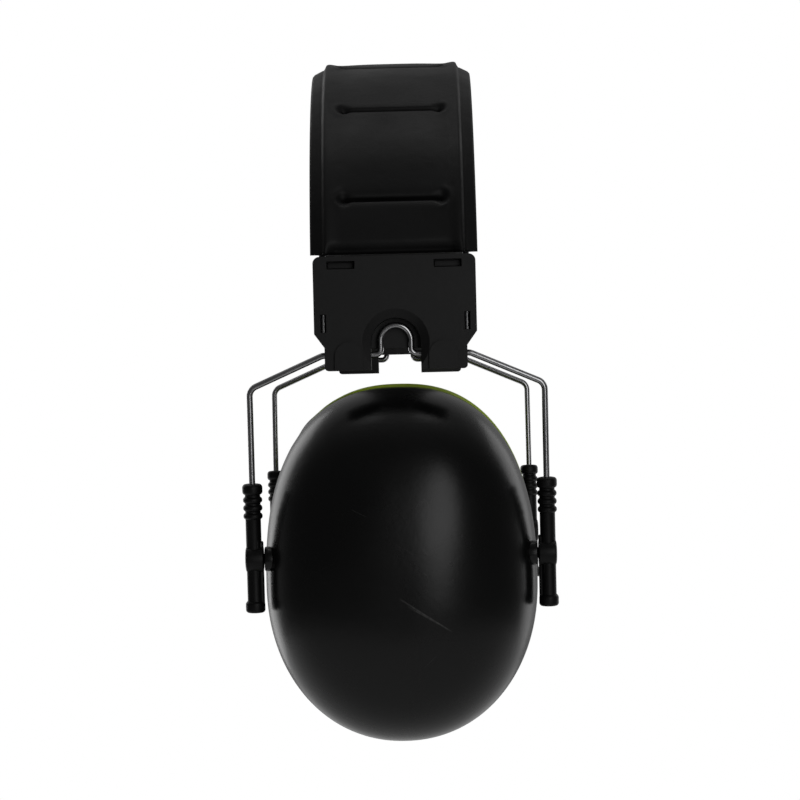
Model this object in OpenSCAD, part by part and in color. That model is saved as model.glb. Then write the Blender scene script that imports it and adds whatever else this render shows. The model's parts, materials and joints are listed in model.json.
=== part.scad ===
// Folding over-ear hearing protectors: a padded headband on two spring wires, a moulded hinge block at
// each end, and under each block a bent wire yoke that carries an ear cup on two sliding sleeves.
// Millimetres. +Z up, +X towards the front of the wearer's head. The origin is the crown contact: the
// lowest point of the padding under the top of the arch. The right side is at -Y, the left side at +Y.

/* [Headband] */
// Radius of the arch at the face that meets the head
arch_r = 73; // [71:0.5:76]
// Thickness of the padded band
pad_t = 11; // [10:0.5:12]
// Width of the padded band
pad_w = 48.5; // [47.5:0.5:50]
// Thickness of the vinyl skin
skin_t = 1.2; // [0.8:0.1:1.4]
// Diameter of each spring wire in the band
band_wire_d = 2; // [1.6:0.1:2]
// Distance from the middle of the band to each spring wire
band_wire_x = 20.8; // [20.4:0.1:21]

/* [Hinge block] */
// Width of the block, front to back
block_w = 47; // [46.5:0.5:48]
// Thickness of each half of the block
half_t = 4.5; // [4:0.1:5]
// Height of the block above the fold axis
block_up = 28.5; // [27.5:0.1:29.5]
// Depth of the feet below the fold axis
foot_down = 4.5; // [4:0.1:5]
// Half width of the notch between the feet
notch_r = 7.2; // [7:0.1:7.5]

/* [Yoke] */
// Diameter of the yoke wire
wire_d = 1.8; // [1.6:0.1:1.8]
// Distance from the middle to each leg of the yoke
leg_x = 42.8; // [42.8:0.1:43.5]
// Slope of the shoulders of the yoke, in degrees below level
slant = 23.5; // [20:0.5:25]
// Depth of the leg ends below the fold axis
leg_end = 69.5; // [68:0.5:70]
// Lean of the yoke at rest, in degrees, cups closer together at the bottom
lean = 5; // [3:0.5:5]

/* [Sleeves] */
// Length of each sleeve
sleeve_l = 37.7; // [37:0.1:38]
// Depth of the sleeve tops below the fold axis
sleeve_top = 36.8; // [36.5:0.1:38]
// Diameter of the sleeve body
sleeve_d = 4.5; // [4.2:0.1:4.6]
// Diameter of the pivot pin
pin_d = 3.2; // [2.8:0.1:3.4]

/* [Ear cup] */
// Half width of the cup
cup_a = 40; // [38.5:0.1:40]
// Height of the cup above its widest line
cup_bt = 57.5; // [55:0.5:57.5]
// Height of the cup below its widest line
cup_bb = 47; // [45:0.5:50]
// Depth of the dome, from rim to crown
dome_d = 36; // [33:0.5:36]
// Wall of the shell
wall = 2.2; // [1.8:0.1:2.4]
// Thickness of the cushion with its plate
cushion_t = 18; // [16:0.5:18]
// Width of the cushion ring
cushion_w = 20; // [18:0.5:21]

/* [Hidden] */
$fn = 48;
e = 0.01;

// Arch
arch_o = arch_r + pad_t;            // outer face of the band
arch_m = arch_r + pad_t / 2;        // centre line of the spring wires
end_a = 76;                         // where the wires leave the arch
end_r = 28;                         // radius of their last bend, to vertical
hinge_y = arch_m * sin(end_a) + end_r * (1 - cos(90 - end_a));
wire_z = -arch_r + arch_m * cos(end_a);           // where the wires' last bend begins
block_z = wire_z + 1.5;                          // top of the block
hinge_z = block_z - block_up;                    // fold axis
pad_z = block_z + 0.7;                           // end of the padding
wire_end_z = hinge_z + 6.7;                      // lower ends of the spring wires
// Fits
run = 0.05;                         // radial running clearance
bore_r = wire_d / 2 + run;
// Yoke
loop_r = 4.45;                      // omega loop, on the wire's centre line
loop_top = 8.4;
curl_r = 1.6;
bend_r = 3;
shoulder_x = 20.8;
// Cup, measured from its pivot
pivot_u = -58.9;                    // pivot below the fold axis
egg_u = -9.1;                       // widest line of the cup from the pivot
rim_w = 13;                         // rim plane inward of the pivot
ring_t = 3;                         // base ring
face_w = rim_w + ring_t + cushion_t;
plate_t = 1.6;
skin_c = 0.8;                       // cushion skin
N = 48;

// ---------- helpers ----------
// Revolves a profile (radius, x) about the arch's axis, a degrees to each side of the top
module arch(a) translate([0, 0, -arch_r]) rotate([180, -90, 0])
  rotate([0, 0, -a]) rotate_extrude(angle = 2 * a, $fn = 96) children();

// Keeps what is above the ends of the padding
module above_ends() intersection() {
  children();
  translate([-100, -150, pad_z]) cube([200, 300, 200]);
}

// Rounded rectangle with exact corners: x from x0 to x1, y from -h to h
module rrect(x0, x1, h, r) {
  translate([x0 + r, -h]) square([x1 - x0 - 2 * r, 2 * h]);
  translate([x0, -h + r]) square([x1 - x0, 2 * h - 2 * r]);
  for (x = [x0 + r, x1 - r], y = [-h + r, h - r]) translate([x, y]) circle(r = r);
}

// Straight and bent pieces of wire in the X-Z plane
module seg(x1, z1, x2, z2, r) translate([x1, 0, z1]) rotate([0, atan2(x2 - x1, z2 - z1), 0])
  cylinder(r = r, h = sqrt(pow(x2 - x1, 2) + pow(z2 - z1, 2)));
// Closes a joint between two of them
module knuckle(x, z, r) translate([x, 0, z]) sphere(r = r + 0.01);
module bend(cx, cz, R, a0, a1, r) translate([cx, 0, cz]) rotate([90, 0, 0]) rotate([0, 0, a0])
  rotate_extrude(angle = a1 - a0) translate([R, 0]) circle(r = r);

// Outline of the cup, grown by o: a blunt egg, taller above its widest line
function egg(o, ot = 0) = [for (i = [0:N - 1]) let(t = 360 * i / N, c = cos(t), s = sin(t), n = s >= 0 ? 2.4 : 2.1,
  b = s >= 0 ? cup_bt + o + ot : cup_bb + o)
  [(cup_a + o) * sign(c) * pow(abs(c), 2 / n), b * sign(s) * pow(abs(s), 2 / n) + egg_u]];

// Prism of an egg outline between two distances inward of the pivot
module slab(w0, w1, o, ot = 0) translate([0, w0, 0]) rotate([-90, 0, 0]) mirror([0, 1, 0])
  linear_extrude(w1 - w0) polygon(egg(o, ot));
module band(w0, w1, o, i, ot = 0) difference() {
  slab(w0, w1, o, ot);
  slab(w0 - 1, w1 + 1, i);
}

// Dome: rings of the egg outline that shrink towards the crown
function ring(o, D, rim, ph) = let(d = D * pow(sin(ph), 0.8), k = pow(cos(ph), 0.8))
  [for (q = egg(o)) [q[0] * k, rim - d, (q[1] - egg_u) * k + egg_u]];
function quads(r0, r1, m) = [for (i = [0:N - 1], f = [0, 1]) let(j = (i + 1) % N)
  m ? (f == 0 ? [r0 + i, r0 + j, r1 + j] : [r0 + i, r1 + j, r1 + i])
    : (f == 0 ? [r1 + j, r0 + j, r0 + i] : [r1 + i, r1 + j, r0 + i])];

// Bowl between an outer and an inner dome with one rim plane
module bowl(o, D, oi, Di, rim, phs) {
  M = len(phs);
  pts = concat([for (p = phs, q = ring(o, D, rim, p)) q], [[0, rim - D, egg_u]],
    [for (p = phs, q = ring(oi, Di, rim, p)) q], [[0, rim - Di, egg_u]]);
  B = M * N + 1;
  faces = concat(
    [for (k = [0:M - 2], f = quads(k * N, (k + 1) * N, false)) f],
    [for (i = [0:N - 1]) [M * N, (M - 1) * N + (i + 1) % N, (M - 1) * N + i]],
    [for (k = [0:M - 2], f = quads(B + k * N, B + (k + 1) * N, true)) f],
    [for (i = [0:N - 1]) [B + (M - 1) * N + i, B + (M - 1) * N + (i + 1) % N, B + M * N]],
    quads(0, B, true));
  polyhedron(pts, faces);
}

// Places: the hinge, the leaning yoke and the cup's pivot, on the right side; the left mirrors them
module at_hinge() translate([0, -hinge_y, hinge_z]) children();
module at_yoke() at_hinge() rotate([lean, 0, 0]) children();
module at_cup() at_yoke() translate([0, 0, pivot_u]) children();
module left() mirror([0, 1, 0]) children();

// ---------- headband ----------
module core_2d() rrect(arch_r + skin_t, arch_o - skin_t, pad_w / 2 - 1.6, 2.5);
module wires_2d(r) for (s = [-1, 1]) translate([arch_m, s * band_wire_x]) circle(r = r);
module skin_2d() difference() {
  union() {
    rrect(arch_r, arch_o, pad_w / 2 - 0.4, 3.2);
    translate([arch_m - 1.1, -pad_w / 2]) square([2.2, pad_w]);
  }
  core_2d();
}
// Outer skin, down to the weld line along each edge
module headband_cover() color([0.06, 0.06, 0.06]) above_ends() arch(80) intersection() {
  skin_2d();
  translate([arch_m, -50]) square([50, 100]);
}
// Inner skin, the face that meets the head
module headband_lining() color([0.1, 0.1, 0.1]) above_ends() arch(80) intersection() {
  skin_2d();
  translate([arch_m - 50, -50]) square([50, 100]);
}
// Foam core, with a tunnel for each spring wire
module headband_pad() color([0.25, 0.25, 0.27]) above_ends() arch(80) difference() {
  core_2d();
  wires_2d(band_wire_d / 2 + 0.02);
}
module band_wire(x) color([0.75, 0.76, 0.78]) {
  r = band_wire_d / 2;
  bz = wire_z - end_r * cos(end_a);   // where the last bend becomes vertical
  arch(end_a) translate([arch_m, x]) circle(r = r);
  for (m = [0, 1]) mirror([0, m, 0]) {
    translate([x, -arch_m * sin(end_a), wire_z]) sphere(r = r + 0.01);
    // last bend, from the arch to vertical
    translate([x, -hinge_y + end_r, bz]) rotate([180, -90, 0])
      rotate([0, 0, end_a]) rotate_extrude(angle = 90 - end_a) translate([end_r, 0]) circle(r = r);
    translate([x, -hinge_y, bz]) sphere(r = r + 0.01);
    translate([x, -hinge_y, wire_end_z]) cylinder(r = r, h = bz - wire_end_z);
  }
}
module front_band_wire() band_wire(band_wire_x);
module rear_band_wire() band_wire(-band_wire_x);

// ---------- hinge block, from the fold axis ----------
module block_2d() difference() {
  union() {
    polygon([[-block_w / 2, 6.2], [-block_w / 2, block_up - 2], [-block_w / 2 + 2, block_up],
      [block_w / 2 - 2, block_up], [block_w / 2, block_up - 2], [block_w / 2, 6.2], [20.6, 2.2],
      [20.6, 1 - foot_down], [19.6, -foot_down], [-19.6, -foot_down], [-20.6, 1 - foot_down], [-20.6, 2.2]]);
    for (s = [-1, 1]) {
      translate([s * (block_w / 2 - 2), block_up - 2]) circle(r = 2);
      translate([s * 19.6, 1 - foot_down]) circle(r = 1);
    }
  }
  translate([-notch_r, -10]) square([2 * notch_r, 11.7]);
}
module notch_2d() {
  translate([0, 3.3]) circle(r = notch_r);
  translate([-notch_r, -10]) square([2 * notch_r, 13.3]);
}
// Extrudes a front view from y0 to y1
module depth(y0, y1) translate([0, y1, 0]) rotate([90, 0, 0]) linear_extrude(y1 - y0) children();
// Pockets for the spring wires, and the bore for the yoke wire
module wire_room() {
  for (s = [-1, 1]) translate([s * band_wire_x - 1.15, -1.15, 5.9]) cube([2.3, 3.7, 30]);
  rotate([0, 90, 0]) translate([0, 0, -30]) cylinder(r = bore_r, h = 60);
}
module block_cover() color([0.07, 0.07, 0.07]) at_hinge() difference() {
  union() {
    depth(-half_t, 0) block_2d();
    // arch-topped boss on each foot
    for (s = [-1, 1]) translate([s * 13.6, 0, 0]) depth(-half_t - 1, -half_t + 1) {
      translate([0, -0.4]) circle(r = 4.1);
      translate([-4.1, -foot_down]) square([8.2, foot_down - 0.4]);
    }
  }
  depth(-half_t - 2, 1) notch_2d();
  // bevel round the head of the notch
  translate([0, -half_t + 1.3, 3.3]) rotate([90, 0, 0]) cylinder(r1 = notch_r - 0.2, r2 = notch_r + 2.6, h = 1.31 + e);
  // slots for the plate's tabs
  for (s = [-1, 1]) translate([s * 15.45 - 4.05, -10, block_up - 3.7]) cube([8.1, 11, 2.3]);
  // windows over the ends of the spring wires
  for (s = [-1, 1]) translate([s * band_wire_x - 0.85, -10, 6.6]) cube([1.7, 9, 5.2]);
  wire_room();
}
module block_plate() color([0.09, 0.09, 0.09]) at_hinge() difference() {
  union() {
    depth(0, half_t) block_2d();
    for (s = [-1, 1]) translate([s * 15.45 - 3.7, -half_t + 0.9, block_up - 3.4]) cube([7.4, half_t, 1.7]);
  }
  // room behind the loop of the yoke wire
  depth(-1, 1.45) notch_2d();
  wire_room();
}

// ---------- yoke wire, from the fold axis ----------
module yoke_wire() color([0.78, 0.79, 0.8]) at_yoke() {
  r = wire_d / 2;
  sx = shoulder_x + bend_r * sin(slant);
  sz = -bend_r * (1 - cos(slant));
  bx = leg_x - bend_r + bend_r * sin(slant);
  bz = sz - (bx - sx) * tan(slant);
  cz = bz - bend_r * cos(slant);
  bend(0, loop_top - loop_r, loop_r, 0, 180, r);
  for (s = [0, 1]) mirror([s, 0, 0]) {
    seg(loop_r, curl_r, loop_r, loop_top - loop_r, r);
    bend(loop_r + curl_r, curl_r, curl_r, 180, 270, r);
    seg(loop_r + curl_r, 0, shoulder_x, 0, r);
    knuckle(shoulder_x, 0, r);
    bend(shoulder_x, -bend_r, bend_r, 90 - slant, 90, r);
    knuckle(sx, sz, r);
    seg(sx, sz, bx, bz, r);
    knuckle(bx, bz, r);
    bend(leg_x - bend_r, cz, bend_r, 0, 90 - slant, r);
    knuckle(leg_x, cz, r);
    seg(leg_x, cz, leg_x, -leg_end, r);
  }
}

// ---------- guide sleeve, on one leg ----------
module sleeve() {
  st = -sleeve_top;
  difference() {
    union() {
      translate([leg_x, 0, st - sleeve_l]) cylinder(d = sleeve_d, h = sleeve_l);
      // grip rings at the top
      translate([leg_x, 0, st - 3]) cylinder(r = 2.9, h = 2.4);
      translate([leg_x, 0, st - 0.6]) cylinder(r1 = 2.9, r2 = 2.4, h = 0.6);
      for (k = [1:3]) translate([leg_x, 0, st - 3 - 2.35 * k]) cylinder(r = 2.75, h = 1.2);
      // foot flange
      translate([leg_x, 0, st - sleeve_l]) cylinder(r = 2.8, h = 3);
      // web towards the cup, and the pivot's boss through it
      translate([leg_x - 2.8, -1.2, pivot_u - 13.4]) cube([2.8, 2.4, 18.6]);
      translate([leg_x - 2.8, 0, pivot_u]) rotate([0, 90, 0]) cylinder(r = 3.8, h = 5.1);
      translate([leg_x - 6.8, 0, pivot_u]) rotate([0, 90, 0]) cylinder(d = pin_d, h = 4.5);
    }
    // guide bore for the wire leg, closed at the bottom
    translate([leg_x, 0, st - sleeve_l + 1]) cylinder(r = bore_r, h = sleeve_l);
  }
}
module front_sleeve() color([0.05, 0.05, 0.05]) at_yoke() sleeve();
module rear_sleeve() color([0.05, 0.05, 0.05]) at_yoke() mirror([1, 0, 0]) sleeve();

// ---------- ear cup, from its pivot ----------
module ear_2(r, x0, x1) for (s = [-1, 1]) rotate([0, s * 90, 0]) translate([0, 0, x0]) cylinder(r = r, h = x1 - x0);
module cup_shell() color([0.04, 0.04, 0.04]) at_cup() difference() {
  union() {
    bowl(0, dome_d, -wall, dome_d - wall, rim_w, [0, 9, 18, 27, 36, 46, 56, 66, 76, 84]);
    ear_2(3.6, 31, leg_x - 3.1);
  }
  ear_2(pin_d / 2 + run, 35.3, 45);
}
// Lime ring that closes the rim and holds the cushion
module base_ring() color([0.6, 0.75, 0.12]) at_cup() {
  band(rim_w, rim_w + ring_t, 0.1, -12, 1.1);
  band(rim_w - 3, rim_w, -wall - 0.3, -wall - 1.8);
}
module cup_foam() color([0.2, 0.2, 0.2]) at_cup() difference() {
  bowl(-4.4, dome_d - 3.2, -14, dome_d - 13, rim_w - 0.3, [0, 15, 30, 45, 60, 76]);
  ear_2(4.3, 20, 50);
}
module ear_liner() color([0.3, 0.3, 0.3]) at_cup() slab(rim_w, rim_w + 2.5, -14);
module cushion_plate() color([0.08, 0.08, 0.08]) at_cup() {
  band(rim_w + ring_t, rim_w + ring_t + plate_t, -1.9, 0.9 - cushion_w);
  band(rim_w + 0.2, rim_w + ring_t, -12.3, -13.5);
}
// Cushion: steps that follow its crowned section, outline o outside and i inside
module cushion(g, w0, w1) {
  f = rim_w + ring_t;
  c = cushion_w;
  band(f + w0, f + 3 + g, -1 - g, g - c);
  band(f + 3 + g, f + 13 - g, -g, g - c);
  band(f + 13 - g, f + 16 - g, -1.5 - g, g - c + 1.5);
  band(f + 16 - g, f + w1, -4 - g, g - c + 4);
}
module cushion_foam() color([0.3, 0.3, 0.32]) at_cup() cushion(skin_c + 0.02, plate_t + e, cushion_t - skin_c - 0.02);
module cushion_cover() color([0.09, 0.09, 0.09]) at_cup() difference() {
  cushion(0, 0, cushion_t);
  cushion(skin_c, -e, cushion_t - skin_c);
}

headband_cover();
headband_lining();
headband_pad();
front_band_wire();
rear_band_wire();
block_cover();  // right_block_cover
block_plate();  // right_block_plate
yoke_wire();  // right_yoke_wire
front_sleeve();  // right_front_sleeve
rear_sleeve();  // right_rear_sleeve
cup_shell();  // right_cup_shell
base_ring();  // right_base_ring
cup_foam();  // right_cup_foam
ear_liner();  // right_ear_liner
cushion_plate();  // right_cushion_plate
cushion_foam();  // right_cushion_foam
cushion_cover();  // right_cushion_cover
left() block_cover();  // left_block_cover
left() block_plate();  // left_block_plate
left() yoke_wire();  // left_yoke_wire
left() front_sleeve();  // left_front_sleeve
left() rear_sleeve();  // left_rear_sleeve
left() cup_shell();  // left_cup_shell
left() base_ring();  // left_base_ring
left() cup_foam();  // left_cup_foam
left() ear_liner();  // left_ear_liner
left() cushion_plate();  // left_cushion_plate
left() cushion_foam();  // left_cushion_foam
left() cushion_cover();  // left_cushion_cover
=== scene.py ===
import math
import json

import bpy
import bmesh
import numpy as np
from mathutils import Matrix, Quaternion, Vector


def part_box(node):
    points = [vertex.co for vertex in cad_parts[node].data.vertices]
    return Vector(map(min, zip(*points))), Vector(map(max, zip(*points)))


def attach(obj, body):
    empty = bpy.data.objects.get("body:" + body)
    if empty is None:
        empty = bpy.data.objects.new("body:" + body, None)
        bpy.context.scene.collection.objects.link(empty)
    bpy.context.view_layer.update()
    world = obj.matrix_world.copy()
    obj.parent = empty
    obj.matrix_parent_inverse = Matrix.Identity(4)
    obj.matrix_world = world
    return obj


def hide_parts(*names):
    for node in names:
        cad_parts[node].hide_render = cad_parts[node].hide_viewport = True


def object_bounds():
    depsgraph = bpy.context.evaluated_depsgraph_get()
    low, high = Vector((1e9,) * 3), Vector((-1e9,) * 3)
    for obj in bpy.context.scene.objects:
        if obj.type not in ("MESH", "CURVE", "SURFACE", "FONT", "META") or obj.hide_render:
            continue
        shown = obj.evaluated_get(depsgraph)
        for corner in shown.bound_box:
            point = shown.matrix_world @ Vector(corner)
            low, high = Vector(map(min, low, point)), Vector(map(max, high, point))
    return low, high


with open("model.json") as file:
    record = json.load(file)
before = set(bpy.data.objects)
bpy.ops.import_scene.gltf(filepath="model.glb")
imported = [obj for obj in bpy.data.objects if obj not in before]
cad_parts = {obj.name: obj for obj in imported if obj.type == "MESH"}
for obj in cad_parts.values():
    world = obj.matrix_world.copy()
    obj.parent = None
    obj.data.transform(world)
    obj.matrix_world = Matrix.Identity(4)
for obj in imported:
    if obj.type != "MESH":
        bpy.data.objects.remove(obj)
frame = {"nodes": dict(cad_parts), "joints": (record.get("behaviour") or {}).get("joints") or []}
B0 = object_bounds()
J = {j["name"]: j for j in frame["joints"]}
nodes = frame["nodes"]
SIDES = ("right", "left")
MM = 0.001

# ------------------------------------------------------------------ frames
hinge = np.array(J["right_fold"]["pos_m"])
pivot = np.array(J["right_tilt"]["pos_m"])
_ax = np.array(J["right_height"]["axis"])
LS, LC = -_ax[1], _ax[2]                       # sine and cosine of the yoke's lean
PIVOT_U = -float(np.linalg.norm(pivot - hinge)) * 1000   # pivot below the fold axis, mm


def on_yoke(side, x, w, u, origin=None):
    """Points given forward, inward and up along the leaning yoke, from the fold axis, in mm."""
    o = hinge if origin is None else origin
    x, w, u = (np.asarray(a, float) * MM for a in (x, w, u))
    y = o[1] + w * LC - u * LS
    z = o[2] + w * LS + u * LC
    if side == "left":
        y = -y
    return np.stack(np.broadcast_arrays(x, y, z), -1)


def on_cup(side, x, w, u):
    return on_yoke(side, x, w, u, pivot)


# ------------------------------------------------------------------ mesh helpers
def make(name, verts, faces, smooth=True, flip=False):
    me = bpy.data.meshes.new(name)
    me.from_pydata([tuple(v) for v in np.asarray(verts).reshape(-1, 3)], [], faces)
    if flip:
        me.flip_normals()
    me.validate()
    me.update()
    if smooth:
        me.shade_smooth()
    o = bpy.data.objects.new(name, me)
    bpy.context.scene.collection.objects.link(o)
    return o


def grid(nu, nv, cu=False, cv=False, start=0, rev=False):
    f = []
    for i in range(nu if cu else nu - 1):
        for j in range(nv if cv else nv - 1):
            a = start + i * nv + j
            b = start + i * nv + (j + 1) % nv
            c = start + ((i + 1) % nu) * nv + (j + 1) % nv
            d = start + ((i + 1) % nu) * nv + j
            f.append((a, d, c, b) if rev else (a, b, c, d))
    return f


def fix_normals(o):
    bm = bmesh.new()
    bm.from_mesh(o.data)
    bmesh.ops.recalc_face_normals(bm, faces=bm.faces)
    bm.to_mesh(o.data)
    bm.free()
    o.data.update()
    return o


def sweep_tube(path, r, n=20, caps=True):
    """Closed tube along a path of points, rings square to it, ends slightly rounded."""
    p = np.asarray(path, float)
    t = np.gradient(p, axis=0)
    t /= np.linalg.norm(t, axis=1)[:, None]
    up = np.cross(t[0], [0.13, 0.97, 0.2])
    up /= np.linalg.norm(up)
    verts, faces = [], []
    ups = []
    for i in range(len(p)):
        up = up - t[i] * np.dot(up, t[i])
        up /= np.linalg.norm(up)
        ups.append(up.copy())
    rr = np.full(len(p), r)
    a = np.linspace(0, 2 * math.pi, n, endpoint=False)
    rings = []
    for i in range(len(p)):
        s = np.cross(t[i], ups[i])
        rings.append(p[i] + rr[i] * (np.cos(a)[:, None] * ups[i] + np.sin(a)[:, None] * s))
    if caps:
        first = [p[0] - t[0] * r * 0.28 * k + (rings[0] - p[0]) * q for k, q in ((1.0, 0.55), (0.6, 0.88))]
        last = [p[-1] + t[-1] * r * 0.28 * k + (rings[-1] - p[-1]) * q for k, q in ((0.6, 0.88), (1.0, 0.55))]
        rings = first + rings + last
    V = np.concatenate(rings)
    faces = grid(len(rings), n, cv=True)
    faces.append(tuple(range(n - 1, -1, -1)))
    faces.append(tuple(range(len(V) - n, len(V))))
    return V, faces


def lathe(profile, n, place):
    """Revolves (radius, height) points; place maps local x, y, h arrays to the row frame."""
    a = np.linspace(0, 2 * math.pi, n, endpoint=False)
    V = []
    for r, h in profile:
        V.append(place(r * np.cos(a), r * np.sin(a), np.full(n, h)))
    V = np.concatenate(V)
    F = grid(len(profile), n, cv=True)
    F.append(tuple(range(n - 1, -1, -1)))
    F.append(tuple(range(len(V) - n, len(V))))
    return V, F


def join_parts(name, parts, smooth=True):
    V, F, k = [], [], 0
    for v, f in parts:
        v = np.asarray(v).reshape(-1, 3)
        V.append(v)
        F += [tuple(i + k for i in q) for q in f]
        k += len(v)
    o = make(name, np.concatenate(V), F, smooth)
    return fix_normals(o)


def rounded(profile, r, seg=4):
    """Rounds the corners of an open polyline of 2-D points. r is a number or one per point."""
    P = [np.array(p, float) for p in profile]
    R = r if isinstance(r, (list, tuple)) else [r] * len(P)
    out = [P[0]]
    for i in range(1, len(P) - 1):
        a, b, c = P[i - 1], P[i], P[i + 1]
        d1, d2 = a - b, c - b
        l1, l2 = np.linalg.norm(d1), np.linalg.norm(d2)
        if R[i] <= 0 or l1 < 1e-9 or l2 < 1e-9:
            out.append(b)
            continue
        q = min(R[i], l1 * 0.49, l2 * 0.49)
        p0, p1 = b + d1 / l1 * q, b + d2 / l2 * q
        for k in range(seg + 1):
            t = k / seg
            out.append((1 - t) ** 2 * p0 + 2 * t * (1 - t) * b + t * t * p1)
    out.append(P[-1])
    return out


# ------------------------------------------------------------------ materials
def new_mat(name):
    m = bpy.data.materials.new(name)
    m.use_nodes = True
    nt = m.node_tree
    b = nt.nodes["Principled BSDF"]
    return m, nt, b


def N(nt, kind, **kw):
    n = nt.nodes.new(kind)
    for k, v in kw.items():
        if k in n.inputs.keys() if hasattr(n, "inputs") else False:
            n.inputs[k].default_value = v
        else:
            setattr(n, k, v)
    return n


def link(nt, a, b):
    nt.links.new(a, b)


def coords(nt, scale=(1, 1, 1)):
    tc = nt.nodes.new("ShaderNodeTexCoord")
    mp = nt.nodes.new("ShaderNodeMapping")
    mp.inputs["Scale"].default_value = scale
    link(nt, tc.outputs["Object"], mp.inputs["Vector"])
    return mp.outputs["Vector"]


def noise_tex(nt, vec, scale, detail=4, rough=0.55, distort=0.0):
    n = nt.nodes.new("ShaderNodeTexNoise")
    n.inputs["Scale"].default_value = scale
    n.inputs["Detail"].default_value = detail
    n.inputs["Roughness"].default_value = rough
    n.inputs["Distortion"].default_value = distort
    link(nt, vec, n.inputs["Vector"])
    return n.outputs["Fac"]


def voronoi(nt, vec, scale, feature="F1", rnd=1.0):
    n = nt.nodes.new("ShaderNodeTexVoronoi")
    n.feature = feature
    n.inputs["Scale"].default_value = scale
    n.inputs["Randomness"].default_value = rnd
    link(nt, vec, n.inputs["Vector"])
    return n.outputs["Distance"]


def ramp(nt, fac, stops):
    n = nt.nodes.new("ShaderNodeValToRGB")
    cr = n.color_ramp
    while len(cr.elements) < len(stops):
        cr.elements.new(0.5)
    for e, (p, c) in zip(cr.elements, stops):
        e.position = p
        e.color = (c, c, c, 1) if isinstance(c, (int, float)) else (*c, 1)
    link(nt, fac, n.inputs["Fac"])
    return n.outputs["Color"]


def maprange(nt, v, a, b, c, d):
    n = nt.nodes.new("ShaderNodeMapRange")
    n.inputs["From Min"].default_value = a
    n.inputs["From Max"].default_value = b
    n.inputs["To Min"].default_value = c
    n.inputs["To Max"].default_value = d
    link(nt, v, n.inputs["Value"])
    return n.outputs["Result"]


def math_n(nt, op, a, b=None):
    n = nt.nodes.new("ShaderNodeMath")
    n.operation = op
    for i, v in enumerate((a, b)):
        if v is None:
            continue
        if isinstance(v, (int, float)):
            n.inputs[i].default_value = v
        else:
            link(nt, v, n.inputs[i])
    return n.outputs["Value"]


def bump(nt, height, dist, strength=1.0, normal=None):
    n = nt.nodes.new("ShaderNodeBump")
    n.inputs["Strength"].default_value = strength
    n.inputs["Distance"].default_value = dist
    link(nt, height, n.inputs["Height"])
    if normal is not None:
        link(nt, normal, n.inputs["Normal"])
    return n.outputs["Normal"]


def vinyl(name, base, rough, grain=0.45, crease=1.0):
    """Soft calendered vinyl: fine pebble grain, soft broad creases, slight colour drift."""
    m, nt, b = new_mat(name)
    v = coords(nt)
    cell = voronoi(nt, v, 1 / (grain * MM), "SMOOTH_F1")
    fine = noise_tex(nt, v, 1 / (0.9 * MM), 3)
    broad = noise_tex(nt, v, 1 / (14 * MM), 3, 0.5)
    soft = noise_tex(nt, v, 1 / (6 * MM), 2, 0.45, 0.6)
    n1 = bump(nt, soft, 0.00022 * crease, 0.55)
    n2 = bump(nt, cell, 0.00003, 0.55, n1)
    n3 = bump(nt, fine, 0.00002, 0.5, n2)
    link(nt, n3, b.inputs["Normal"])
    r = maprange(nt, broad, 0.3, 0.7, rough - 0.05, rough + 0.07)
    r = math_n(nt, "ADD", r, maprange(nt, cell, 0.0, 0.6, 0.04, -0.03))
    link(nt, r, b.inputs["Roughness"])
    lo = [c * 0.8 for c in base]
    hi = [c * 1.3 for c in base]
    link(nt, ramp(nt, broad, [(0.3, lo), (0.7, hi)]), b.inputs["Base Color"])
    b.inputs["Specular IOR Level"].default_value = 0.4
    b.inputs["Sheen Weight"].default_value = 0.04
    b.inputs["Sheen Roughness"].default_value = 0.4
    return m


def plastic(name, base, rough, texture=0.35, depth=0.00002, spec=0.5, coat=0.0, drift=0.04):
    """Moulded plastic with a fine eroded texture and slight drift in gloss."""
    m, nt, b = new_mat(name)
    v = coords(nt)
    fine = noise_tex(nt, v, 1 / (texture * MM), 5, 0.6)
    peel = noise_tex(nt, v, 1 / (2.4 * MM), 2, 0.5)
    broad = noise_tex(nt, v, 1 / (22 * MM), 3, 0.5)
    n1 = bump(nt, peel, 0.00006, 0.25)
    n2 = bump(nt, fine, depth, 0.6, n1)
    link(nt, n2, b.inputs["Normal"])
    link(nt, maprange(nt, broad, 0.3, 0.7, rough - drift, rough + drift), b.inputs["Roughness"])
    link(nt, ramp(nt, broad, [(0.3, [c * 0.85 for c in base]), (0.7, [c * 1.15 for c in base])]), b.inputs["Base Color"])
    b.inputs["Specular IOR Level"].default_value = spec
    b.inputs["Coat Weight"].default_value = coat
    b.inputs["Coat Roughness"].default_value = 0.12
    return m


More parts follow.
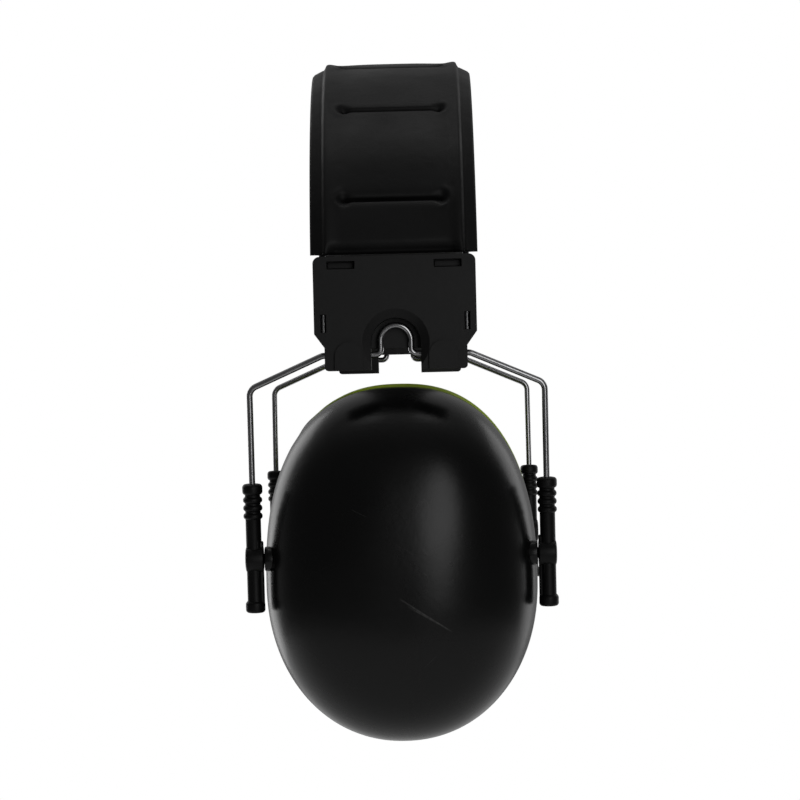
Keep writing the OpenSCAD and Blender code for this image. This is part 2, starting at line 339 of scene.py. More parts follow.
def shell_mat(name, marks):
    """Gloss black moulded shell: orange peel, and a few straight hairline scratches."""
    m, nt, b = new_mat(name)
    v = coords(nt)
    peel = noise_tex(nt, v, 1 / (1.5 * MM), 2, 0.5)
    wave = noise_tex(nt, v, 1 / (9 * MM), 2, 0.5)
    fine = noise_tex(nt, v, 1 / (0.25 * MM), 3, 0.6)
    broad = noise_tex(nt, v, 1 / (30 * MM), 4, 0.55)
    spx = nt.nodes.new("ShaderNodeSeparateXYZ")
    link(nt, v, spx.inputs["Vector"])
    X, Y, Z = spx.outputs
    front = math_n(nt, "GREATER_THAN", math_n(nt, "ABSOLUTE", Y), 0.08)
    total = None
    for x0, z0, x1, z1, w, k in marks:
        L = math.hypot(x1 - x0, z1 - z0)
        dx, dz = (x1 - x0) / L, (z1 - z0) / L
        px, pz = math_n(nt, "SUBTRACT", X, x0 * MM), math_n(nt, "SUBTRACT", Z, z0 * MM)
        t = math_n(nt, "ADD", math_n(nt, "MULTIPLY", px, dx), math_n(nt, "MULTIPLY", pz, dz))
        d = math_n(nt, "ABSOLUTE", math_n(nt, "SUBTRACT", math_n(nt, "MULTIPLY", px, dz), math_n(nt, "MULTIPLY", pz, dx)))
        ends = maprange(nt, math_n(nt, "ABSOLUTE", math_n(nt, "SUBTRACT", t, L * MM / 2)), L * MM / 2, L * MM * 0.3, 0.0, 1.0)
        line = math_n(nt, "MULTIPLY", maprange(nt, d, w * MM, 0.3 * w * MM, 0.0, k), ends)
        total = line if total is None else math_n(nt, "MAXIMUM", total, line)
    scuff = math_n(nt, "MULTIPLY", math_n(nt, "MULTIPLY", total, front), ramp(nt, noise_tex(nt, v, 1 / (1.2 * MM), 2), [(0.35, 0.25), (0.6, 1.0)]))
    n1 = bump(nt, wave, 0.00012, 0.3)
    n2 = bump(nt, peel, 0.000035, 0.55, n1)
    n3 = bump(nt, fine, 0.000005, 0.5, n2)
    link(nt, n3, b.inputs["Normal"])
    r = maprange(nt, broad, 0.3, 0.7, 0.25, 0.31)
    r = math_n(nt, "ADD", r, math_n(nt, "MULTIPLY", scuff, 0.3))
    link(nt, r, b.inputs["Roughness"])
    dark = ramp(nt, broad, [(0.3, (0.0030, 0.0032, 0.0032)), (0.7, (0.0045, 0.0047, 0.0047))])
    mx = nt.nodes.new("ShaderNodeMix")
    mx.data_type = "RGBA"
    link(nt, scuff, mx.inputs[0])
    link(nt, dark, mx.inputs[6])
    mx.inputs[7].default_value = (0.09, 0.09, 0.088, 1)
    link(nt, mx.outputs[2], b.inputs["Base Color"])
    b.inputs["Specular IOR Level"].default_value = 0.5
    return m


def steel(name, rough, along=(1, 1, 1), tint=(0.62, 0.62, 0.63)):
    m, nt, b = new_mat(name)
    v = coords(nt, along)
    drawn = noise_tex(nt, v, 1 / (0.22 * MM), 4, 0.65)
    broad = noise_tex(nt, coords(nt), 1 / (11 * MM), 3, 0.5)
    link(nt, bump(nt, drawn, 0.000012, 0.6), b.inputs["Normal"])
    r = math_n(nt, "ADD", maprange(nt, broad, 0.3, 0.7, rough - 0.04, rough + 0.06), maprange(nt, drawn, 0.3, 0.7, -0.03, 0.03))
    link(nt, r, b.inputs["Roughness"])
    link(nt, ramp(nt, broad, [(0.3, [c * 0.9 for c in tint]), (0.7, tint)]), b.inputs["Base Color"])
    b.inputs["Metallic"].default_value = 1.0
    return m


def foam_mat(name, base, pore=0.7):
    m, nt, b = new_mat(name)
    v = coords(nt)
    c1 = voronoi(nt, v, 1 / (pore * MM))
    c2 = voronoi(nt, v, 1 / (pore * 2.1 * MM))
    h = math_n(nt, "ADD", c1, math_n(nt, "MULTIPLY", c2, 0.6))
    link(nt, bump(nt, h, 0.0003, 0.9), b.inputs["Normal"])
    # base colour darkened where the pore bump is lowest: painted shade in the pits of the foam
    link(nt, ramp(nt, h, [(0.15, [c * 0.35 for c in base]), (0.7, base)]), b.inputs["Base Color"])
    b.inputs["Roughness"].default_value = 0.95
    b.inputs["Specular IOR Level"].default_value = 0.2
    return m


M_COVER = vinyl("cover_vinyl", (0.0045, 0.0046, 0.0048), 0.52, 0.42, 1.0)
M_LINING = vinyl("lining_vinyl", (0.008, 0.008, 0.0085), 0.5, 0.42, 1.3)
M_CUSHION = vinyl("cushion_vinyl", (0.0062, 0.0062, 0.0066), 0.42, 0.36, 0.7)
M_BLOCK = plastic("block_plastic", (0.0062, 0.0063, 0.0065), 0.47, 0.3, 0.00003, 0.5)
M_SLEEVE = plastic("sleeve_plastic", (0.003, 0.003, 0.0032), 0.45, 0.3, 0.00002, 0.38)
M_SHELL = {
    "right": shell_mat("shell_plastic", [(-0.9, -150.6, 14.5, -160.9, 0.28, 1.0), (1.5, -152.9, 12.0, -159.3, 0.2, 0.8), (-14, -125, -9, -127.5, 0.1, 0.35), (6, -171, 10, -167, 0.1, 0.3)]),
    "left": shell_mat("shell_plastic_left", [(-11, -132.5, 3, -141.0, 0.18, 0.6), (5, -168, 13, -163, 0.12, 0.5), (-17, -156, -12, -161, 0.1, 0.4)])}
M_RING = plastic("ring_plastic", (0.66, 0.9, 0.06), 0.36, 0.4, 0.00001, 0.5)
M_WIRE = steel("yoke_steel", 0.2)
M_SPRING = steel("spring_steel", 0.28)
M_FOAM = foam_mat("open_cell_foam", (0.035, 0.035, 0.038), 0.8)
M_LINER = foam_mat("liner_foam", (0.05, 0.05, 0.053), 0.55)
M_PLATE = plastic("plate_plastic", (0.01, 0.01, 0.011), 0.5, 0.4)


def dress(o, m, body=None, node=None):
    o.data.materials.clear()
    o.data.materials.append(m)
    if body:
        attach(o, body)
    if node:
        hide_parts(*([node] if isinstance(node, str) else node))
    return o


# ------------------------------------------------------------------ the cup's outline, in mm
CUP_A, CUP_BT, CUP_BB, EGG_U, RIM_W, DOME = 40.0, 57.5, 47.0, -9.1, 13.0, 36.0


def egg(o, n, ot=0.0, k=1.0):
    """Outline of the cup grown by o: x and u arrays."""
    t = np.linspace(0, 2 * math.pi, n, endpoint=False)
    c, s = np.cos(t), np.sin(t)
    top = s >= 0
    e = np.where(top, 2 / 2.4, 2 / 2.1)
    b = np.where(top, CUP_BT + o + ot * np.clip(s, 0, 1) ** 0.5, CUP_BB + o)
    x = (CUP_A + o) * np.sign(c) * np.abs(c) ** e
    u = b * np.sign(s) * np.abs(s) ** e
    return x * k, u * k + EGG_U


def even_egg(o, n, ot=0.0):
    """The same outline with points evenly spaced along it."""
    x, u = egg(o, 1440, ot)
    x, u = np.append(x, x[0]), np.append(u, u[0])
    L = np.concatenate([[0], np.cumsum(np.hypot(np.diff(x), np.diff(u)))])
    q = np.linspace(0, L[-1], n, endpoint=False)
    return np.interp(q, L, x), np.interp(q, L, u)


def cup_loop(side, path, n, closed=True, ot=None):
    """Sweeps a closed section of (offset, inward distance) points round the cup's outline."""
    V = []
    for i, (o, w) in enumerate(path):
        x, u = even_egg(o, n, 0 if ot is None else ot[i])
        V.append(on_cup(side, x, np.full(n, w), u))
    return np.concatenate(V), grid(len(path), n, cu=closed, cv=True)


# ------------------------------------------------------------------ cup shells
def cup_shell(side):
    n = 176
    V, rings = [], 0

    def add(o, d, k=1.0):
        nonlocal rings
        x, u = egg(o, n, 0, k)
        V.append(on_cup(side, x, np.full(n, RIM_W - d), u))
        rings += 1

    # inside lip, rim edge, then the dome
    for o, d in ((-2.2, 9.0), (-2.2, 3.0), (-2.2, 0.5), (-2.0, 0.12), (-1.6, 0.0), (-0.75, 0.0), (-0.35, 0.08), (-0.1, 0.3)):
        add(o, d)
    for q in np.linspace(0, 1, 44):
        ph = math.radians(2.2 + (89.3 - 2.2) * q)
        add(0, DOME * math.sin(ph) ** 0.8, math.cos(ph) ** 0.8)
    V = np.concatenate(V)
    F = grid(rings, n, cv=True)
    # crown cap
    c = on_cup(side, 0, RIM_W - DOME, EGG_U).reshape(1, 3)
    base = (rings - 1) * n
    k = len(V)
    V = np.concatenate([V, c])
    F += [(base + i, base + (i + 1) % n, k) for i in range(n)]
    # inner wall, closed over the inside
    k0 = len(V)
    W = []
    m = 14
    for q in np.linspace(0, 1, m):
        ph = math.radians(14 + (88 - 14) * q)
        x, u = egg(-2.2, n, 0, math.cos(ph) ** 0.8)
        W.append(on_cup(side, x, np.full(n, RIM_W - (DOME - 2.2) * math.sin(ph) ** 0.8), u))
    W.append(on_cup(side, 0, RIM_W - DOME + 2.2, EGG_U).reshape(1, 3))
    V = np.concatenate([V] + W)
    F += [tuple(k0 + i for i in f) for f in grid(m, n, cv=True)]
    kc = len(V) - 1
    b2 = k0 + (m - 1) * n
    F += [(b2 + i, b2 + (i + 1) % n, kc) for i in range(n)]
    F += [(i, (i + 1) % n, k0 + (i + 1) % n, k0 + i) for i in range(n)]
    parts = [(V, F)]
    # pivot ears, each with its bore
    for s in (1, -1):
        prof = rounded([(1.65, 35.4), (1.65, 39.7), (3.6, 39.7), (3.6, 31.0)], [0, 0.25, 0.5, 0])
        a = np.linspace(0, 2 * math.pi, 40, endpoint=False)
        P = [on_cup(side, np.full(40, s * h), r * np.cos(a), r * np.sin(a)) for r, h in prof]
        P = np.concatenate(P)
        G = grid(len(prof), 40, cv=True)
        G.append(tuple(range(40)))
        G.append(tuple(range(len(P) - 40, len(P))))
        parts.append((P, G))
    o = join_parts(f"{side}_shell", parts)
    return dress(o, M_SHELL[side], f"{side}_cup", f"{side}_cup_shell")


# ------------------------------------------------------------------ base rings
def base_ring(side):
    path = rounded([(-12, 13.05), (-0.45, 13.05), (-0.45, 16), (-12, 16)], [0, 0.5, 0.6, 0], 4)
    path = [tuple(p) for p in path]
    ot = [1.05 * max(0, min(1, (p[0] + 8) / 7.5)) for p in path]
    V, F = cup_loop(side, path, 200, True, ot)
    V[:, 0] += 0.35 * MM    # seated slightly forward
    o = join_parts(f"{side}_lime_ring", [(V, F)])
    return dress(o, M_RING, f"{side}_cup", f"{side}_base_ring")


# ------------------------------------------------------------------ cushions
def cushion(side):
    n = 208
    # section, from the outer seam over the crown to the inner seam
    pts = [(-2.2, 16.3), (-1.7, 17.2), (-1.3, 19.2), (-1.2, 22.0), (-1.4, 25.0), (-2.1, 28.4), (-3.8, 31.6), (-6.3, 33.6), (-9.9, 34.2),
           (-13.6, 33.7), (-16.7, 31.8), (-18.9, 28.6), (-19.9, 25.0), (-20.0, 21.5), (-19.6, 18.6), (-19.0, 17.4)]
    P = np.array(pts)
    L = np.concatenate([[0], np.cumsum(np.hypot(*np.diff(P, axis=0).T))])
    m = 30
    q = np.linspace(0, L[-1], m)
    so, sw = np.interp(q, L, P[:, 0]), np.interp(q, L, P[:, 1])
    for _ in range(3):
        so[1:-1] = (so[:-2] + 2 * so[1:-1] + so[2:]) / 4
        sw[1:-1] = (sw[:-2] + 2 * sw[1:-1] + sw[2:]) / 4
    ang = np.linspace(0, 2 * math.pi, n, endpoint=False)
    rng = np.random.RandomState(7)
    V = []
    # gathers of the skin: strongest at the inner seam, weaker at the outer one
    gath_in = sum(a * np.sin(k * ang + p) for k, a, p in zip((23, 31, 41, 53), (0.10, 0.10, 0.08, 0.05), rng.rand(4) * 6))
    gath_out = sum(a * np.sin(k * ang + p) for k, a, p in zip((17, 29, 37), (0.05, 0.06, 0.04), rng.rand(3) * 6))
    for i in range(m):
        f = i / (m - 1)
        gi = gath_in * np.exp(-((f - 0.86) / 0.11) ** 2)
        go = gath_out * np.exp(-((f - 0.12) / 0.10) ** 2)
        x, u = even_egg(so[i], n)
        # push along the section's normal
        j0, j1 = max(i - 1, 0), min(i + 1, m - 1)
        to, tw = so[j1] - so[j0], sw[j1] - sw[j0]
        ln = math.hypot(to, tw)
        no, nw = tw / ln, -to / ln
        x2, u2 = even_egg(so[i] + 1.0, n)
        d = (gi + go)
        V.append(on_cup(side, x + (x2 - x) * no * d, sw[i] + nw * d, u + (u2 - u) * no * d))
    V = np.concatenate(V)
    F = grid(m, n, cv=True)
    o = make(f"{side}_cushion", V, F)
    fix_normals(o)
    swell(o, m, n, 1.6, 1.2)
    # weld bead that closes the skin onto the plate, outside and inside
    parts = [cup_loop(side, [(c[0] + 0.42 * math.cos(a), c[1] + 0.34 * math.sin(a)) for a in np.linspace(0, 2 * math.pi, 8, endpoint=False)], n)
             for c in ((-2.05, 16.45), (-19.1, 17.6))]
    bead = join_parts(f"{side}_cushion_weld", parts)
    dress(bead, M_CUSHION, f"{side}_cup")
    dress(o, M_CUSHION, f"{side}_cup", [f"{side}_cushion_cover", f"{side}_cushion_foam"])
    return o


def swell(o, m, n, pressure, cap):
    """Inflates the skin by cloth simulation with its seams held, then applies the result."""
    sc = bpy.context.scene
    me = o.data
    rest = np.array([v.co for v in me.vertices], float)
    work = bpy.data.objects.new(o.name + "_sim", me.copy())
    sc.collection.objects.link(work)
    # simulate at ten times the size, where the solver's defaults behave
    work.data.transform(Matrix.Scale(10, 4))
    vg = work.vertex_groups.new(name="pin")
    pins = [i for i in range(len(rest)) if (i // n) in (0, m - 1)]
    vg.add(pins, 1.0, "REPLACE")
    cl = work.modifiers.new("cloth", "CLOTH")
    s = cl.settings
    s.vertex_group_mass = "pin"
    s.mass = 0.25
    s.quality = 6
    s.tension_stiffness = s.compression_stiffness = 30
    s.shear_stiffness = 10
    s.bending_stiffness = 1.2
    s.use_pressure = True
    s.uniform_pressure_force = pressure
    s.shrink_min = -0.03
    s.effector_weights.gravity = 0
    cl.collision_settings.use_collision = False
    cl.collision_settings.use_self_collision = False
    cl.point_cache.frame_start, cl.point_cache.frame_end = 1, 22
    for f in range(1, 21):
        sc.frame_set(f)
    dg = bpy.context.evaluated_depsgraph_get()
    ev = work.evaluated_get(dg)
    got = np.array([v.co for v in ev.data.vertices], float) / 10
    bpy.data.objects.remove(work)
    sc.frame_set(1)
    d = got - rest
    if not np.isfinite(d).all():
        print("SWELL failed", o.name)
        return
    ln = np.linalg.norm(d, axis=1)
    cap *= MM
    print("SWELL", o.name, "mean mm", round(float(ln.mean()) * 1000, 3), "max mm", round(float(ln.max()) * 1000, 3))
    d *= (np.minimum(ln, cap) / np.maximum(ln, 1e-9))[:, None]
    me.vertices.foreach_set("co", (rest + d).astype(np.float32).ravel())
    me.update()


def ear_liner(side):
    n, m = 96, 12
    V = []
    prof = [(-14.0 - 26.0 * (1 - q) ** 1.0, 15.45 + 0.0 * q) for q in np.linspace(1, 0.02, m)]
    x, u = even_egg(-14.2, n)
    V.append(on_cup(side, x, np.full(n, 13.1), u))
    for q in np.linspace(1, 0.03, m):
        w = 15.5 - 1.1 * (1 - q ** 2)
        k = q if q < 1 else 0.995
        V.append(on_cup(side, x * k, np.full(n, w - (0.35 if q == 1 else 0)), (u - EGG_U) * k + EGG_U))
    V = np.concatenate(V)
    F = grid(m + 1, n, cv=True)
    F.append(tuple(range(len(V) - n, len(V))))
    F.append(tuple(range(n)))
    o = join_parts(f"{side}_liner_disc", [(V, F)])
    dress(o, M_LINER, f"{side}_cup", f"{side}_ear_liner")


# ------------------------------------------------------------------ yoke wires
LEG_X, SLANT, BEND, SHOULDER, LOOP_R, LOOP_TOP, CURL, LEG_END = 42.8, math.radians(23.5), 3.0, 20.8, 4.45, 8.4, 1.6, 69.5


def yoke_path():
    """Half of the wire's centre line, from the top of the loop to the end of the leg: x, u."""
    P = []
    cz = LOOP_TOP - LOOP_R
    for a in np.linspace(90, 0, 16):
        P.append((LOOP_R * math.cos(math.radians(a)), cz + LOOP_R * math.sin(math.radians(a))))
    for a in np.linspace(180, 270, 10):
        P.append((LOOP_R + CURL + CURL * math.cos(math.radians(a)), CURL + CURL * math.sin(math.radians(a))))
    sx, sz = SHOULDER + BEND * math.sin(SLANT), -BEND * (1 - math.cos(SLANT))
    for q in np.linspace(0.1, 0.95, 8):
        P.append((LOOP_R + CURL + (SHOULDER - LOOP_R - CURL) * q, 0))
    for a in np.linspace(0, 1, 6):
        t = SLANT * a
        P.append((SHOULDER + BEND * math.sin(t), -BEND * (1 - math.cos(t))))
    bx = LEG_X - BEND + BEND * math.sin(SLANT)
    bz = sz - (bx - sx) * math.tan(SLANT)
    c2 = bz - BEND * math.cos(SLANT)
    for q in np.linspace(0.05, 0.95, 10):
        P.append((sx + (bx - sx) * q, sz + (bz - sz) * q))
    for a in np.linspace(0, 1, 12):
        t = math.pi / 2 - SLANT
        t = t * (1 - a)
        P.append((LEG_X - BEND + BEND * math.cos(t), c2 + BEND * math.sin(t)))
    for q in np.linspace(0.02, 1, 24):
        P.append((LEG_X, c2 + (-LEG_END - c2) * q))
    return np.array(P)


def yoke(side):
    h = yoke_path()
    full = np.concatenate([h[::-1] * [-1, 1], h[1:]])
    V, F = sweep_tube(on_yoke(side, full[:, 0], np.zeros(len(full)), full[:, 1]), 0.9 * MM, 22)
    o = join_parts(f"{side}_wire", [(V, F)])
    return dress(o, M_WIRE, f"{side}_yoke", f"{side}_yoke_wire")


# ------------------------------------------------------------------ sleeves
def box_round(place, lo, hi, r, seg=3):
    """A box with rounded edges as one mesh, in the local frame that place maps."""
    bm = bmesh.new()
    bmesh.ops.create_cube(bm, size=1)
    for v in bm.verts:
        v.co = Vector([lo[i] + (v.co[i] + 0.5) * (hi[i] - lo[i]) for i in range(3)])
    bmesh.ops.bevel(bm, geom=list(bm.edges), offset=r, segments=seg, profile=0.5, affect="EDGES")
    co = np.array([v.co for v in bm.verts])
    F = [tuple(v.index for v in f.verts) for f in bm.faces]
    bm.verts.index_update()
    F = [tuple(v.index for v in f.verts) for f in bm.faces]
    bm.free()
    return place(co[:, 0], co[:, 1], co[:, 2]), F


def sleeve(side, s, name, node):
    top, length = -36.8, 37.7
    b = 2.25
    prof = [(0.95, top - length + 1), (0.95, top), (1.7, top), (2.55, top - 0.15), (2.95, top - 0.75), (2.95, top - 2.5), (2.6, top - 3.0), (b, top - 3.1)]
    R = [0, 0.1, 0.2, 0.3, 0.3, 0.3, 0.2, 0.15]
    for k in (1, 2, 3):
        c = top - 3 - 2.35 * k
        prof += [(b, c + 1.55), (2.55, c + 1.35), (2.8, c + 0.95), (2.8, c + 0.3), (2.55, c - 0.05), (b, c - 0.25)]
        R += [0.12, 0.15, 0.2, 0.2, 0.15, 0.12]
    e = top - length
    prof += [(b, e + 3.4), (2.55, e + 3.1), (2.85, e + 2.6), (2.85, e + 0.5), (2.4, e), (0.0001, e)]
    R += [0.3, 0.2, 0.25, 0.35, 0.25, 0]
    prof = rounded(prof, R, 3)
    pu = PIVOT_U
    V, F = lathe(prof, 36, lambda x, y, h: on_yoke(side, s * (LEG_X + x), y, h))
    parts = [(V, F)]
    pl = lambda x, y, z: on_yoke(side, s * x, y, z)
    # web towards the cup, the pivot's boss and its pin
    parts.append(box_round(pl, (40.05, -1.2, pu - 13.4), (42.8, 1.2, pu + 5.2), 0.45))
    a = np.linspace(0, 2 * math.pi, 40, endpoint=False)
    for pr in (rounded([(0.0001, 40.02), (3.8, 40.02), (3.8, 44.9), (3.3, 45.2), (2.2, 45.35), (0.0001, 45.35)], [0, 0.4, 0.4, 0.3, 0.3, 0], 3),
               rounded([(0.0001, 36.1), (1.6, 36.1), (1.6, 40.4), (0.0001, 40.4)], [0, 0.35, 0, 0], 3)):
        P = np.concatenate([on_yoke(side, np.full(40, s * h), r * np.cos(a), pu + r * np.sin(a)) for r, h in pr])
        G = grid(len(pr), 40, cv=True)
        parts.append((P, G))
    # fillet-like ribs that carry the boss into the barrel
    parts.append(box_round(pl, (41.0, -2.0, pu - 6.2), (44.4, 2.0, pu + 6.2), 0.9, 4))
    o = join_parts(name, parts)
    return dress(o, M_SLEEVE, f"{side}_slider", node)


# ------------------------------------------------------------------ copies of CAD pieces with rounded edges
def softened(node, name, width, seg, mat, body, angle=25, tab=None):
    me = nodes[node].data.copy()
    me.name = name
    if tab:
        face, stop = tab                      # draws the tabs back, so that their slots read dark
        for v in me.vertices:
            if abs(v.co.y) > face:
                v.co.y = math.copysign(stop, v.co.y)
    o = bpy.data.objects.new(name, me)
    bpy.context.scene.collection.objects.link(o)
    bm = bmesh.new()
    bm.from_mesh(me)
    bmesh.ops.remove_doubles(bm, verts=bm.verts, dist=2e-6)
    bmesh.ops.dissolve_limit(bm, angle_limit=math.radians(1.0), verts=bm.verts, edges=bm.edges, delimit=set())
    bm.normal_update()
    bm.to_mesh(me)
    bm.free()
    mod = o.modifiers.new("bevel", "BEVEL")
    mod.width = width * MM
    mod.segments = seg
    mod.limit_method = "ANGLE"
    mod.angle_limit = math.radians(angle)
    mod.use_clamp_overlap = True
    mod.harden_normals = False
    dg = bpy.context.evaluated_depsgraph_get()
    done = bpy.data.meshes.new_from_object(o.evaluated_get(dg))
    o.modifiers.clear()
    o.data = done
    done.shade_smooth()
    bm = bmesh.new()
    bm.from_mesh(done)
    bm.normal_update()
    for e in bm.edges:
        if len(e.link_faces) == 2 and e.calc_face_angle(0) > math.radians(33):
            e.smooth = False
    bm.to_mesh(done)
    bm.free()
    dress(o, mat, body, node)
    wn = o.modifiers.new("wn", "WEIGHTED_NORMAL")
    wn.keep_sharp = True
    return o


# ------------------------------------------------------------------ headband
ARCH_R, PAD_T = 73.0, 11.0
MID = ARCH_R + PAD_T / 2
END_Z = float(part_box("headband_cover")[0][2]) * 1000


def arch_point(s, x, h):
    """s: arc length from the top along the middle line, x forward, h out from the middle line, mm."""
    th = s / MID
    r = MID + h
    return np.stack(np.broadcast_arrays(x * MM, r * np.sin(th) * MM, (-ARCH_R + r * np.cos(th)) * MM), -1)


def end_s(h):
    """Arc length at which the level end cuts the layer h out from the middle line, mm."""
    return MID * np.arccos((ARCH_R + END_Z) / (MID + h))


SMAX = float(end_s(0.0))


def cut_point(s, x, h):
    """arch_point with the last 14 mm stretched or shortened to meet the level end."""
    t = np.clip((np.abs(s) - SMAX + 14) / 14, 0, 1)
    return arch_point(np.sign(s) * (np.abs(s) + (end_s(h) - SMAX) * t ** 2), x, h)


GROOVES = [s * MID / (MID + 5.5) for s in (-92.9, -56.2, -19.5, 19.5, 56.2, 92.9)]


def smooth(a, b, x):
    t = np.clip((x - a) / (b - a), 0, 1)
    return t * t * (3 - 2 * t)


def outer_h(s, x):
    ax = np.abs(x)
    # crowned pad, ridge over each spring wire, then round to the welded edge
    h = 4.95 + 0.5 * np.exp(-((ax - 19.2) / 2.0) ** 2)
    h = h - (h - 3.6) * smooth(19.8, 21.0, ax) - 0.5 * np.clip(ax - 21.2, 0, 3)
    h = h - 0.3 * smooth(23.75, 24.2, ax)
    # pillows between the welds
    g = min_dist(s)
    h = h + 0.35 * smooth(3, 15, g) * np.exp(-(ax / 13) ** 4)
    # welds across the pad: a thin line in a soft valley, a dimple at each end
    for c in GROOVES:
        dx = np.maximum(ax - 13.9, 0)
        d = np.hypot(s - c, dx)
        h = h - 0.5 * np.exp(-(d / 1.7) ** 2) - 1.8 * np.exp(-(d / 0.55) ** 2)
        dd = np.hypot((s - c) / 1.25, (ax - 14.3) / 1.15)
        h = h - 0.85 * np.exp(-(dd / 1.45) ** 3) + 0.28 * np.exp(-((dd - 2.2) / 0.8) ** 2) * smooth(13.8, 15.8, ax)
    # gathered end
    e = SMAX - np.abs(s)
    h = h - 2.2 * (1 - smooth(0.0, 3.2, e)) * (1 - smooth(16.5, 20.5, ax))
    return h


def min_dist(s):
    return np.min(np.abs(np.asarray(s)[..., None] - np.array(GROOVES)), axis=-1)


def inner_h(s, x):
    ax = np.abs(x)
    h = -(5.2 + 0.25 * np.exp(-(ax / 12) ** 2))
    h = h + 4.7 * smooth(18.2, 23.2, ax) ** 1.1
    g = min_dist(s)
    h = h - 0.3 * smooth(2, 14, g) * np.exp(-(ax / 12) ** 4)
    for c in [q * 1.0 for q in GROOVES]:
        dx = np.maximum(ax - 13.6, 0)
        d = np.hypot(s - c, dx)
        h = h + 1.9 * np.exp(-(d / 1.2) ** 2.2)
        h = h + 0.4 * np.exp(-(np.hypot((s - c) / 1.3, np.maximum(ax - 14.6, 0)) / 2.4) ** 2)
    e = SMAX - np.abs(s)
    h = h + 1.6 * (1 - smooth(0.0, 5.0, e)) * np.exp(-(ax / 18) ** 6)
    return h


def band_skin(name, hf, sign, mat, node):
    """One skin of the band: its face, its turned-in ends and the back of its welded edges."""
    ns, nx = 420, 96
    # more points near the welds
    u = np.linspace(-SMAX, SMAX, 4001)
    c = np.cumsum(1 + 3 * np.exp(-(min_dist(u) / 2.4) ** 2))
    S = np.interp(np.linspace(c[0], c[-1], ns), c, u)
    S[0], S[-1] = -SMAX, SMAX
    # more points across the edges than over the middle
    q = np.linspace(-1, 1, nx)
    X = 24.25 * np.sign(q) * (1 - (1 - np.abs(q)) ** 1.35)
    SS, XX = np.meshgrid(S, X, indexing="ij")
    H = hf(SS, XX)
    P = cut_point(SS, XX, H)
    inner = cut_point(SS, XX, sign * (0.04 + np.where(np.abs(XX) < 22.6, 0.6, 0)))
    V = np.concatenate([P.reshape(-1, 3), inner.reshape(-1, 3)])
    k = ns * nx
    F = grid(ns, nx)
    F += [tuple(k + i for i in f) for f in grid(ns, nx, rev=True)]
    for i in range(ns - 1):
        for j in (0, nx - 1):
            a, b = i * nx + j, (i + 1) * nx + j
            F.append((a, b, b + k, a + k))
    for i in (0, ns - 1):
        for j in range(nx - 1):
            a, b = i * nx + j, i * nx + j + 1
            F.append((a, b, b + k, a + k))
    o = join_parts(name, [(V, F)])
    dress(o, mat, "headband", node)
    return o


# ------------------------------------------------------------------ build
for side in SIDES:
    cup_shell(side)
    base_ring(side)
    cushion(side)
    ear_liner(side)
    yoke(side)
    sleeve(side, 1, f"{side}_sleeve_front", f"{side}_front_sleeve")
    sleeve(side, -1, f"{side}_sleeve_rear", f"{side}_rear_sleeve")
    softened(f"{side}_block_cover", f"{side}_block_outer", 0.55, 3, M_BLOCK, "headband")
    softened(f"{side}_block_plate", f"{side}_block_inner", 0.4, 3, M_BLOCK, "headband", tab=(abs(hinge[1]) + 0.0025, abs(hinge[1]) + 0.0009))
    for nme, mat in ((f"{side}_cup_foam", M_FOAM), (f"{side}_cushion_plate", M_PLATE)):
        nodes[nme].data.materials.clear()
        nodes[nme].data.materials.append(mat)

cover = band_skin("band_cover", outer_h, 1, M_COVER, "headband_cover")
lining = band_skin("band_lining", inner_h, -1, M_LINING, "headband_lining")
# foam core between the two skins
cs, ch = np.linspace(-MID * math.radians(73.5), MID * math.radians(73.5), 120), 2.3
CORE = [(-19.2, -ch), (19.2, -ch), (19.2, ch), (-19.2, ch)]
V = np.concatenate([arch_point(np.full(4, a), np.array([c[0] for c in CORE]), np.array([c[1] for c in CORE])) for a in cs])
F = grid(len(cs), 4, cv=True) + [(3, 2, 1, 0), (len(V) - 4, len(V) - 3, len(V) - 2, len(V) - 1)]
dress(join_parts("band_core", [(V, F)], False), M_FOAM, "headband", "headband_pad")
for nme, mat in (("front_band_wire", M_SPRING), ("rear_band_wire", M_SPRING)):
    nodes[nme].data.materials.clear()
    nodes[nme].data.materials.append(mat)

# ------------------------------------------------------------------ floor, light, camera
FLOOR_Z = B0[0][2] - 0.12
me = bpy.data.meshes.new("floor")
fa = np.linspace(0, 2 * math.pi, 96, endpoint=False)
me.from_pydata([(0.45 * math.cos(a), 0.45 * math.sin(a), FLOOR_Z) for a in fa], [], [tuple(range(96))])
floor = bpy.data.objects.new("floor", me)
bpy.context.scene.collection.objects.link(floor)
fm, fnt, fb = new_mat("floor_paper")
fv = coords(fnt)
link(fnt, ramp(fnt, noise_tex(fnt, fv, 40, 3), [(0.3, 0.78), (0.7, 0.82)]), fb.inputs["Base Color"])
fb.inputs["Roughness"].default_value = 0.9
# the paper glows a little, more towards the backdrop, so it stays pale in the dim room
fsep = fnt.nodes.new("ShaderNodeSeparateXYZ")
link(fnt, fv, fsep.inputs[0])
fb.inputs["Emission Color"].default_value = (1, 1, 1, 1)
link(fnt, maprange(fnt, fsep.outputs["Y"], -0.12, 0.25, 0.05, 0.42), fb.inputs["Emission Strength"])
me.materials.append(fm)

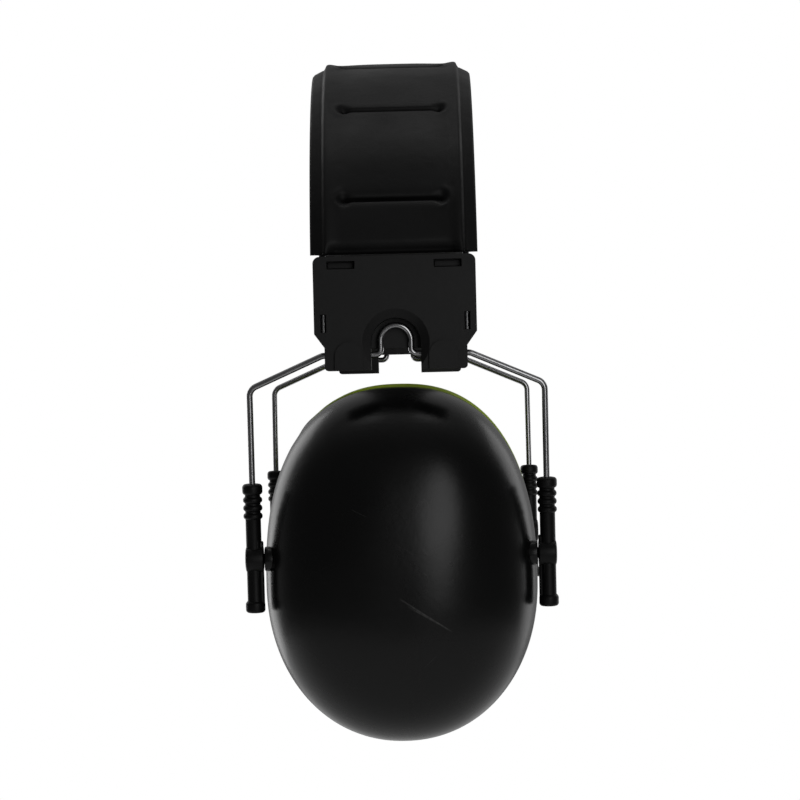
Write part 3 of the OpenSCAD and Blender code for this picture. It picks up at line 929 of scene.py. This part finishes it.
# Studio: white backdrop, dim room on the camera's side, paler behind and overhead
world = bpy.data.worlds.new("studio")
bpy.context.scene.world = world
world.use_nodes = True
wnt = world.node_tree
bg = wnt.nodes["Background"]
wtc = wnt.nodes.new("ShaderNodeTexCoord")
sep = wnt.nodes.new("ShaderNodeSeparateXYZ")
link(wnt, wtc.outputs["Generated"], sep.inputs["Vector"])
back_l = maprange(wnt, sep.outputs["Y"], 0.2, 0.9, 0.054, 0.22)
high = math_n(wnt, "ADD", sep.outputs["Z"], math_n(wnt, "MULTIPLY", sep.outputs["Y"], 0.5))
up_l = maprange(wnt, high, 0.5, 1.0, 0.0, 0.1)
low_l = maprange(wnt, sep.outputs["Z"], -0.98, -0.6, 0.12, 0.0)
room = math_n(wnt, "ADD", math_n(wnt, "ADD", back_l, up_l), low_l)
lp = wnt.nodes.new("ShaderNodeLightPath")
mixn = wnt.nodes.new("ShaderNodeMix")
mixn.data_type = "FLOAT"
link(wnt, lp.outputs["Is Camera Ray"], mixn.inputs[0])
link(wnt, room, mixn.inputs[2])
mixn.inputs[3].default_value = 1.0
link(wnt, mixn.outputs[0], bg.inputs["Strength"])
bg.inputs["Color"].default_value = (1, 1, 1, 1)


def area(name, az, el, dist, size, radiance, target=(0, -0.08, -0.1), roll=0.0, shape="RECTANGLE"):
    """A soft box seen from the target at az degrees to the right of the camera's side and el up."""
    a, e = math.radians(az), math.radians(el)
    d = Vector((math.sin(a) * math.cos(e), -math.cos(a) * math.cos(e), math.sin(e)))
    L = bpy.data.lights.new(name, "AREA")
    L.shape = shape
    L.size, L.size_y = size
    L.energy = radiance * math.pi * size[0] * size[1] * (math.pi / 4 if shape == "ELLIPSE" else 1)
    o = bpy.data.objects.new(name, L)
    bpy.context.scene.collection.objects.link(o)
    o.location = Vector(target) + d * dist
    m = d.to_track_quat("Z", "Y")
    o.rotation_mode = "QUATERNION"
    o.rotation_quaternion = m @ Quaternion((0, 0, 1), math.radians(roll))
    return o


area("window", 20, 9, 1.7, (0.72, 1.55), 1.28, roll=-16, shape="ELLIPSE")
area("overhead_left", -118, 76, 1.1, (0.36, 0.34), 1.2)
area("overhead_right", 118, 76, 1.1, (0.36, 0.34), 1.2)
area("side_left", -143, 4, 1.3, (0.6, 1.3), 1.25)
area("side_right", 134, 5, 1.3, (0.66, 1.2), 0.8)

cam_data = bpy.data.cameras.new("camera")
cam = bpy.data.objects.new("camera", cam_data)
bpy.context.scene.collection.objects.link(cam)
bpy.context.scene.camera = cam
cam_data.sensor_width = 36
cam_data.lens = 139.24
YAW, PITCH, ROLL, DIST = math.radians(0.4), math.radians(0.15), math.radians(1.37), 0.893
aim = Vector((0.0008, -0.080, -0.0943))
back = Vector((math.sin(YAW) * math.cos(PITCH), -math.cos(YAW) * math.cos(PITCH), math.sin(PITCH)))
cam.location = aim + back * DIST
q = (-back).to_track_quat("-Z", "Y")
cam.rotation_mode = "QUATERNION"
cam.rotation_quaternion = q @ Quaternion((0, 0, 1), -ROLL)
cam_data.clip_start, cam_data.clip_end = 0.01, 50
bpy.context.scene.view_settings.view_transform = "Standard"
